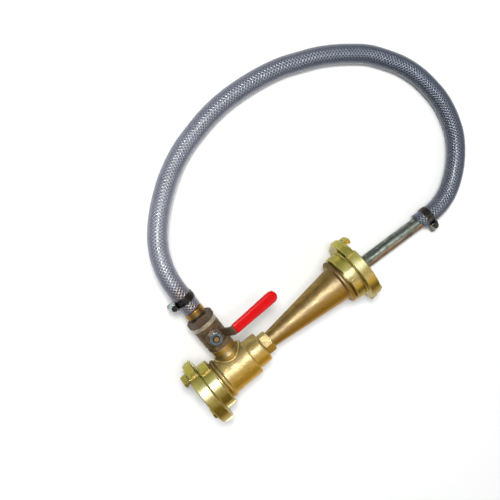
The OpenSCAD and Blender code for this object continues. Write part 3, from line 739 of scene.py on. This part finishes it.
def pathFrames(path):
    # sideways and upward directions carried along without twist
    frames = []
    side = Vector((1, 0, 0))
    for i, spot in enumerate(path):
        ahead = (path[min(i + 1, len(path) - 1)] - path[max(i - 1, 0)]).normalized()
        side = (side - ahead * side.dot(ahead)).normalized()
        frames.append((spot, side, ahead.cross(side)))
    return frames


def pathRings(frames, radius, sides):
    angles = circleAngles(sides)
    return [[spot + radius * mm * (math.cos(a) * side + math.sin(a) * up) for a in angles]
            for spot, side, up in frames]


def hoseShell(name, frames, outside, inside, sides):
    rings = pathRings(frames, outside, sides) + list(reversed(pathRings(frames, inside, sides)))
    return loftMesh(name, rings, closedLength=True)


def lineMesh(name, points):
    mesh = bpy.data.meshes.new(name)
    mesh.from_pydata(points, [(i, i + 1) for i in range(len(points) - 1)], [])
    return mesh


def bakeTree(name, tree, values, base):
    # runs a node tree on a base mesh and keeps only the plain mesh it makes
    maker = bpy.data.objects.new(name + "Maker", base)
    scene.collection.objects.link(maker)
    build = maker.modifiers.new("build", "NODES")
    build.node_group = tree
    for item in tree.interface.items_tree:
        if item.in_out == "INPUT" and item.name in values:
            build[item.identifier] = values[item.name]
    depsgraph = bpy.context.evaluated_depsgraph_get()
    mesh = bpy.data.meshes.new_from_object(maker.evaluated_get(depsgraph))
    maker.modifiers.remove(build)
    bpy.data.objects.remove(maker)
    mesh.name = name
    return mesh


def newTree(name, **inputs):
    return newGroup(name, "Geometry", {"Geometry": "Geometry", **inputs}, {"Geometry": "Geometry"})


def sweepWire(tree, curve, radius, capped):
    # a thin wire with four sides along the curve
    feeds = {"Resolution": 4, "Radius": radius}
    profile = place(tree, "GeometryNodeCurvePrimitiveCircle", feeds).outputs[0]
    feeds = {"Curve": curve, "Profile Curve": profile, "Fill Caps": capped}
    return place(tree, "GeometryNodeCurveToMesh", feeds).outputs[0]


def makeBraidTree():
    # strands wind both ways around the route, each over two and under two of the others
    tree, given, result = newTree("hoseBraid", Strands="Int", Lead="Float", Radius="Float", Weave="Float",
                                  Fibre="Float")
    line = place(tree, "GeometryNodeMeshToCurve", {0: given["Geometry"]}).outputs[0]
    feeds = {"Geometry": line, "Amount": times(tree, given["Strands"], 2.0)}
    copies = place(tree, "GeometryNodeDuplicateElements", feeds, domain="SPLINE").outputs
    index = copies["Duplicate Index"]
    way = math2(tree, "SUBTRACT", 1.0, times(tree, math2(tree, "MODULO", index, 2.0), 2.0))
    order = math2(tree, "FLOOR", math2(tree, "DIVIDE", index, 2.0))
    travel = place(tree, "GeometryNodeSplineParameter").outputs["Length"]
    wound = times(tree, math2(tree, "DIVIDE", travel, given["Lead"]), fullTurn)
    phase = times(tree, math2(tree, "DIVIDE", order, given["Strands"]), fullTurn)
    angle = plus(tree, times(tree, wound, way), phase)
    pair = times(tree, times(tree, wound, given["Strands"]), 0.5)
    turns = plus(tree, times(tree, pair, way), times(tree, order, math.pi))
    wave = math2(tree, "COSINE", math2(tree, "SUBTRACT", turns, math.pi / 4))
    lift = times(tree, times(tree, wave, way), given["Weave"])
    radius = plus(tree, given["Radius"], lift)
    normal = place(tree, "GeometryNodeInputNormal").outputs[0]
    tangent = place(tree, "GeometryNodeInputTangent").outputs[0]
    across = vectorMath(tree, "CROSS_PRODUCT", tangent, normal)[0]
    outward = vectorMath(tree, "ADD", scaled(tree, normal, math2(tree, "COSINE", angle)),
                         scaled(tree, across, math2(tree, "SINE", angle)))[0]
    feeds = {"Geometry": copies[0], "Offset": scaled(tree, outward, radius)}
    strands = place(tree, "GeometryNodeSetPosition", feeds).outputs[0]
    tree.links.new(sweepWire(tree, strands, given["Fibre"], False), result["Geometry"])
    return tree


def slantEnd(mesh, plan, cut, end, before):
    # the hose is cut at a slant: points near its end move along it by their height across it
    ahead = (end - before).normalized()
    up = Vector(cut["up"])
    up = (up - ahead * up.dot(ahead)).normalized()
    reach = plan["cutReach"] * mm
    low = cut["low"] * mm
    rise = cut["high"] * mm - low
    for point in mesh.vertices:
        across = point.co - end
        inside = -across.dot(ahead)
        if inside < reach and across.length < 2 * reach:
            height = across.dot(up) / (plan["outer"] * mm)
            shift = low + rise * (height + 1) / 2
            point.co += ahead * shift * (1 - max(inside, 0.0) / reach)


def makeHose(plan):
    path = smoothRoute(plan["route"], plan["steps"])
    even = evenPath(path, plan["wallGap"] * mm)
    frames = pathFrames(even)
    wallMesh = hoseShell("hoseWall", frames, plan["outer"], plan["wallInside"], plan["sides"])
    coreMesh = hoseShell("hoseCore", frames, plan["coreOutside"], plan["coreInside"], plan["sides"])
    line = lineMesh("hoseLine", evenPath(path, plan["braidGap"] * mm))
    values = {"Strands": plan["strands"], "Lead": plan["lead"] * mm, "Radius": plan["braid"] * mm,
              "Weave": plan["weave"] * mm, "Fibre": plan["fibre"] * mm}
    braidMesh = bakeTree("hoseBraid", makeBraidTree(), values, line)
    wall = addPiece("hoseWall", wallMesh, "clearHose", "eductor")
    core = addPiece("hoseCore", coreMesh, "hoseCore", "eductor")
    braid = addPiece("hoseBraid", braidMesh, "hoseFibre", "eductor")
    for piece in (wall, core, braid):
        slantEnd(piece.data, plan, plan["pipeCut"], path[-1], path[-2])
        slantEnd(piece.data, plan, plan["valveCut"], path[0], path[1])
    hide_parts("suction_hose")
    return wall, even, pathLengths(path)[-1], [core, braid]


hoseWall, hosePath, hoseLength, hosePieces = makeHose(hose)
print("hose laid:", round(hoseLength, 3), "m")


# Worm clamps on both hose ends

clamp = {
    "hose": 14.5, "band": 0.9, "width": 11.0, "roll": 0.3, "sides": 72, "smooth": 35, "bevel": 0.25,
    "screw": 7.0, "screwGap": 1.0, "housing": 16.0, "sheet": 0.9, "bowGap": 0.6, "bowSteps": 12,
    "footPast": 1.0, "footSink": 0.5, "footRise": 0.8, "footBend": 0.4,
    "ridges": 46, "ridgeSize": (0.5, 0.75, 6.4), "slant": 10.0, "clear": 38.0,
    "thread": 3.45, "threadWire": 0.42, "threadLength": 20.5, "threadTurns": 11.0, "threadShift": 8.5,
}


def makeRidgeTree():
    # pressed worm ridges around a band, left out under the housing
    tree, given, result = newTree("bandRidges", Count="Int", Radius="Float", Size="Vector", Slant="Float",
                                  Clear="Float")
    feeds = {"Vertices": given["Count"], "Radius": given["Radius"]}
    circle = place(tree, "GeometryNodeMeshCircle", feeds).outputs[0]
    index = place(tree, "GeometryNodeInputIndex").outputs[0]
    turn = times(tree, math2(tree, "DIVIDE", index, given["Count"]), fullTurn)
    opposite = math2(tree, "ABSOLUTE", math2(tree, "SUBTRACT", turn, math.pi))
    away = math2(tree, "SUBTRACT", math.pi, opposite)
    shown = math2(tree, "GREATER_THAN", away, given["Clear"])
    bar = place(tree, "GeometryNodeMeshCube", {"Size": given["Size"]}).outputs[0]
    pose = place(tree, "ShaderNodeCombineXYZ", {"X": given["Slant"], "Z": turn}).outputs[0]
    feeds = {"Points": circle, "Selection": shown, "Instance": bar, "Rotation": pose}
    bars = place(tree, "GeometryNodeInstanceOnPoints", feeds).outputs[0]
    real = place(tree, "GeometryNodeRealizeInstances", {0: bars}).outputs[0]
    tree.links.new(real, result["Geometry"])
    return tree


def makeThreadTree():
    # one wire wound as a screw thread
    tree, given, result = newTree("threadCoil", Turns="Float", Radius="Float", Length="Float", Wire="Float")
    feeds = {"Resolution": 20, "Rotations": given["Turns"], "Start Radius": given["Radius"],
             "End Radius": given["Radius"], "Height": given["Length"]}
    coil = place(tree, "GeometryNodeCurveSpiral", feeds).outputs[0]
    tree.links.new(sweepWire(tree, coil, given["Wire"], True), result["Geometry"])
    return tree


ridgeTree = makeRidgeTree()
threadTree = makeThreadTree()


def bandMesh(name, plan):
    # ring with rolled edges
    inside = plan["hose"] * mm
    outside = inside + plan["band"] * mm
    half = plan["width"] / 2 * mm
    roll = plan["roll"] * mm
    profile = [(inside, -half), (outside - roll, -half), (outside, -half + roll), (outside, half - roll),
               (outside - roll, half), (inside, half)]
    rings = [[Vector((r * math.cos(a), r * math.sin(a), z)) for r, z in profile]
             for a in circleAngles(plan["sides"])]
    return loftMesh(name, rings, closedLength=True)


def screwReach(plan):
    # from the middle of the hose to the middle of the screw
    return (plan["hose"] + plan["band"] + plan["screwGap"] + plan["screw"] / 2) * mm


def bridgeLine(plan, bow, foot, ankle):
    # one side of the bent sheet, from foot to foot over the screw
    sole = (plan["hose"] + plan["band"] - plan["footSink"]) * mm
    angles = [math.pi * k / plan["bowSteps"] for k in range(plan["bowSteps"] + 1)]
    over = [(screwReach(plan) + bow * math.sin(a), -bow * math.cos(a)) for a in angles]
    return [(sole, -foot), (ankle, -foot)] + over + [(ankle, foot), (sole, foot)]


def bridgeMesh(name, plan):
    # sheet bent over the screw, with two feet on the band
    sheet = plan["sheet"] * mm
    bow = (plan["screw"] / 2 + plan["bowGap"]) * mm
    foot = (plan["width"] / 2 + plan["footPast"]) * mm
    ankle = (plan["hose"] + plan["band"] + plan["footRise"]) * mm
    outerLine = bridgeLine(plan, bow + sheet, foot, ankle + sheet * plan["footBend"])
    innerLine = bridgeLine(plan, bow, foot - sheet, ankle)
    outline = outerLine + list(reversed(innerLine))
    half = plan["housing"] / 2 * mm
    rings = [[Vector((x, y, z)) for x, z in outline] for y in (-half, half)]
    return loftMesh(name, rings)


def turned(degrees, axis):
    return Matrix.Rotation(math.radians(degrees), 4, axis)


def makeClamp(prefix, plan, spot, finish, bridgeFinish):
    values = {"Count": plan["ridges"], "Radius": (plan["hose"] + plan["band"]) * mm,
              "Size": [s * mm for s in plan["ridgeSize"]], "Slant": math.radians(plan["slant"]),
              "Clear": math.radians(plan["clear"])}
    ridgeMesh = bakeTree(prefix + "Ridges", ridgeTree, values, bpy.data.meshes.new("ridgeBase"))
    values = {"Turns": plan["threadTurns"], "Radius": plan["thread"] * mm,
              "Length": plan["threadLength"] * mm, "Wire": plan["threadWire"] * mm}
    threadMesh = bakeTree(prefix + "Thread", threadTree, values, bpy.data.meshes.new("threadBase"))
    ring = addPiece(prefix + "Band", bandMesh(prefix + "Band", plan), finish, "eductor")
    bridge = addPiece(prefix + "Bridge", bridgeMesh(prefix + "Bridge", plan), bridgeFinish, "eductor")
    ridges = addPiece(prefix + "Ridges", ridgeMesh, finish, "eductor", smooth=False)
    coil = addPiece(prefix + "Thread", threadMesh, finish, "eductor")
    threadStart = Matrix.Translation((screwReach(plan), plan["threadShift"] * mm, 0))
    threadSpot = spot @ threadStart @ turned(90, "X")
    for piece, at in ((ring, spot), (bridge, spot), (ridges, spot), (coil, threadSpot)):
        piece.data.transform(at)
    for piece in (ring, bridge):
        smoothByAngle(piece.data, plan["smooth"])
    finishEdges(bridge, plan["bevel"] * mm)
    return [ring, bridge, ridges, coil]


clampSpots = {
    "hoseClampAt": (67.0, 129.0, 0.0), "hoseClampTurn": 190.0,
    "pipeStart": (449.0, -21.5, -33.0), "pipeEnd": (313.0, -16.0, -38.2),
    "pipeClampIn": 9.0, "pipeClampTurn": 115.0,
}


def makeClamps(plan, spots):
    # one clamp around the hose barb and one around the pipe, square to what they hold
    valveSpot = Matrix.Translation(Vector(spots["hoseClampAt"]) * mm) @ turned(-90, "X")
    valveSpot = valveSpot @ turned(spots["hoseClampTurn"], "Z")
    start = Vector(spots["pipeStart"]) * mm
    run = Vector(spots["pipeEnd"]) * mm - start
    lean = math.degrees(math.acos(run.z / run.length))
    heading = math.degrees(math.atan2(run.y, run.x))
    pipeSpot = Matrix.Translation(start) @ turned(heading, "Z") @ turned(lean, "Y")
    pipeSpot = pipeSpot @ Matrix.Translation((0, 0, spots["pipeClampIn"] * mm))
    pipeSpot = pipeSpot @ turned(spots["pipeClampTurn"], "Z")
    onValve = makeClamp("valveClamp", plan, valveSpot, "darkZinc", "clampZinc")
    onPipe = makeClamp("pipeClamp", plan, pipeSpot, "darkZinc", "darkZinc")
    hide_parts("hose_clamp_band")
    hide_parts("pipe_clamp_band")
    return onPipe


hosePieces += [nodes["pipe_clamp_screw"], nodes["pickup_pipe"]] + makeClamps(clamp, clampSpots)
print("clamps closed")


# Cast bead around the root of the suction branch

bead = {"body": 29.0, "reach": 20.6, "size": 1.8, "branch": 67.0, "steps": 96, "sides": 10}


def makeBead(plan):
    path = []
    for a in circleAngles(plan["steps"]):
        x = plan["branch"] + plan["reach"] * math.cos(a)
        z = plan["reach"] * math.sin(a)
        path.append(Vector((x, math.sqrt(plan["body"] ** 2 - z * z), z)) * mm)
    frames = []
    for i, spot in enumerate(path):
        ahead = (path[(i + 1) % len(path)] - path[i - 1]).normalized()
        out = Vector((0, spot.y, spot.z)).normalized()
        frames.append((spot, out, ahead.cross(out).normalized()))
    mesh = loftMesh("branchBead", pathRings(frames, plan["size"], plan["sides"]), closedLength=True)
    piece = addPiece("branchBead", mesh, "beadBrass", "eductor")


makeBead(bead)
print("bead cast")


# Valve lever: cranked plate and dipped sleeve

lever = {
    "stem": (67.0, 65.0), "path": [(0, 30), (13, 30), (25, 57), (101, 49)], "thick": 2.5, "width": 13.6,
    "bend": 3.5, "bendSteps": 6, "hub": 12.0, "hubRows": 13, "hubTurn": 12.0, "hubLeast": 0.4,
    "armFrom": 10.0, "armBefore": 8.0, "smooth": 30, "bevel": 0.35,
    "sleeveStart": 3.1, "sleevePast": 2.0, "sleeveWidth": 17.5, "sleeveThick": 8.0, "sleeveSides": 28,
    "sleeveRoot": [(0.0, 0.62), (0.0, 0.84), (0.5, 0.86), (3.0, 0.86)],
    "sleeveRun": [(0.3, 0.88), (0.5, 0.92), (0.7, 0.97)],
    "sleeveTip": (15, 30, 42, 54, 64, 73, 80, 86), "tipThick": 0.35, "tipFull": 1.25,
    "squareWide": 0.5, "squareHigh": 0.7,
}


def roundedPath(corners, radius, steps):
    # straight runs with an arc at each inner corner
    path = [Vector(corners[0])]
    for a, b, c in zip(corners, corners[1:], corners[2:]):
        a, b, c = Vector(a), Vector(b), Vector(c)
        back = (a - b).normalized()
        ahead = (c - b).normalized()
        reach = radius / math.tan(back.angle(ahead) / 2)
        start = b + back * reach
        end = b + ahead * reach
        for k in range(steps + 1):
            t = k / steps
            path.append(start * (1 - t) ** 2 + b * 2 * t * (1 - t) + end * t * t)
    path.append(Vector(corners[-1]))
    return path


def leverSpot(plan, point, side):
    # from the lever's side view to its place on the stem
    return Vector((plan["stem"][0] + point.x, plan["stem"][1] + side, point.y)) * mm


def leverPlateMesh(plan):
    # the hub is a round plate, and the arm follows the cranked path
    path = roundedPath(plan["path"], plan["bend"], plan["bendSteps"])
    hub = plan["hub"]
    low = plan["path"][0][1]
    rows = []
    for k in range(plan["hubRows"]):
        a = math.radians(180 - plan["hubTurn"] * k)
        half = max(hub * math.sin(a), plan["hubLeast"])
        rows.append((Vector((hub * math.cos(a), low)), Vector((0, 1)), half))
    arm = [p for p in path if p.x > plan["armFrom"]]
    for i, p in enumerate(arm):
        before = arm[i - 1] if i else Vector((plan["armBefore"], low))
        after = arm[i + 1] if i + 1 < len(arm) else p + (p - before)
        ahead = (after - before).normalized()
        rows.append((p, Vector((-ahead.y, ahead.x)), plan["width"] / 2))
    rings = []
    for spot, up, half in rows:
        top = spot + up * plan["thick"]
        ring = [(spot, -half), (spot, half), (top, half), (top, -half)]
        rings.append([leverSpot(plan, p, y) for p, y in ring])
    return loftMesh("leverPlate", rings)


def sleeveMesh(plan):
    # soft rounded box along the arm, round at its tip and narrowed at its root
    start = Vector(plan["path"][2])
    run = Vector(plan["path"][3]) - start
    ahead = run.normalized()
    up = Vector((-ahead.y, ahead.x))
    first = plan["sleeveStart"]
    last = run.length + plan["sleevePast"]
    half = plan["sleeveWidth"] / 2
    stations = [(first + s, share) for s, share in plan["sleeveRoot"]]
    stations += [(last * s, share) for s, share in plan["sleeveRun"]]
    stations += [(last - half, 1.0)]
    stations += [(last - half + half * math.sin(math.radians(a)), math.cos(math.radians(a)))
                 for a in plan["sleeveTip"]]
    rings = []
    for s, share in stations:
        middle = start + ahead * s + up * plan["thick"] / 2
        full = plan["tipThick"] + (1 - plan["tipThick"]) * min(1.0, share * plan["tipFull"])
        thick = plan["sleeveThick"] / 2 * (share if s == first else full)
        ring = []
        for a in circleAngles(plan["sleeveSides"]):
            c, d = math.cos(a), math.sin(a)
            y = half * share * math.copysign(abs(c) ** plan["squareWide"], c)
            z = thick * math.copysign(abs(d) ** plan["squareHigh"], d)
            ring.append(leverSpot(plan, middle + up * z, y))
        rings.append(ring)
    return loftMesh("leverSleeve", rings)


def makeLever(plan):
    plate = addPiece("leverPlate", leverPlateMesh(plan), "leverZinc", "valve_lever")
    smoothByAngle(plate.data, plan["smooth"])
    finishEdges(plate, plan["bevel"] * mm)
    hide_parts("lever")
    sleeve = addPiece("leverSleeve", sleeveMesh(plan), "redGrip", "valve_lever")
    soft = sleeve.modifiers.new("soft", "SUBSURF")
    soft.levels = 1
    soft.render_levels = 1
    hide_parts("lever_grip")


makeLever(lever)
print("lever fitted")


# Finishes of the solid pieces

nodeFinish = {
    "castBrass": ["eductor_body", "jet_nozzle", "diffuser_locknut"],
    "diffuserBrass": ["diffuser"],
    "couplingBrass": ["inlet_coupling", "outlet_coupling"],
    "barbBrass": ["hose_barb"],
    "stemEnd": ["valve_stem"],
    "valveBronze": ["valve_body", "valve_end_cap"],
    "blackRubber": ["inlet_gasket", "outlet_gasket", "inlet_washer", "outlet_washer", "barb_seal"],
    "whiteSeat": ["inner_ball_seat", "outer_ball_seat", "stem_packing"],
    "polishedBall": ["valve_ball"],
    "brightZinc": ["lever_nut", "packing_gland"],
    "darkZinc": ["hose_clamp_screw", "pipe_clamp_screw"],
    "galvanised": ["pickup_pipe"],
}
for finish, names in nodeFinish.items():
    for name in names:
        nodes[name].data.materials.clear()
        nodes[name].data.materials.append(finishes[finish])
print("solid pieces finished")


# Floor and lights

stagePlan = {
    "floorSize": 8.0, "floor": (0.93, 0.93, 0.925, 1), "floorRough": 0.8,
    "sky": (0.80, 0.86, 0.92, 1), "skyPower": 0.28,
}


def makeStage(plan):
    newFinish("paleFloor", **{"Base Color": plan["floor"], "Roughness": plan["floorRough"]})
    half = plan["floorSize"] / 2
    level = cadBox[0].z
    corners = [(-half, -half, level), (half, -half, level), (half, half, level), (-half, half, level)]
    mesh = bpy.data.meshes.new("floor")
    mesh.from_pydata(corners, [], [(0, 1, 2, 3)])
    mesh.materials.append(finishes["paleFloor"])
    floor = bpy.data.objects.new("floor", mesh)
    scene.collection.objects.link(floor)
    world = bpy.data.worlds.new("sky")
    world.use_nodes = True
    sky = world.node_tree.nodes["Background"].inputs
    sky["Color"].default_value = plan["sky"]
    sky["Strength"].default_value = plan["skyPower"]
    scene.world = world
    scene.view_settings.view_transform = "Standard"


lamps = {
    "over": {"place": (0.1, 0.9, 3.4), "aim": (0.25, 0.12, 0.0), "size": 1.5, "power": 52.0,
             "colour": (1.0, 1.0, 1.0)},
    "key": {"place": (0.17, 0.62, 1.30), "aim": (0.22, 0.08, 0.0), "size": 0.26, "power": 12.5,
            "colour": (1.0, 0.99, 0.96)},
    "fill": {"place": (0.9, -1.3, 1.5), "aim": (0.25, 0.1, 0.0), "size": 1.4, "power": 9.0,
             "colour": (1.0, 0.97, 0.93)},
}


def makeLamps(plans):
    for name, plan in plans.items():
        data = bpy.data.lights.new(name, "AREA")
        data.shape = "SQUARE"
        data.size = plan["size"]
        data.energy = plan["power"]
        data.color = plan["colour"]
        lamp = bpy.data.objects.new(name, data)
        toward = Vector(plan["aim"]) - Vector(plan["place"])
        lamp.location = plan["place"]
        lamp.rotation_mode = "QUATERNION"
        lamp.rotation_quaternion = toward.to_track_quat("-Z", "Y")
        scene.collection.objects.link(lamp)


makeStage(stagePlan)
makeLamps(lamps)
print("stage lit")
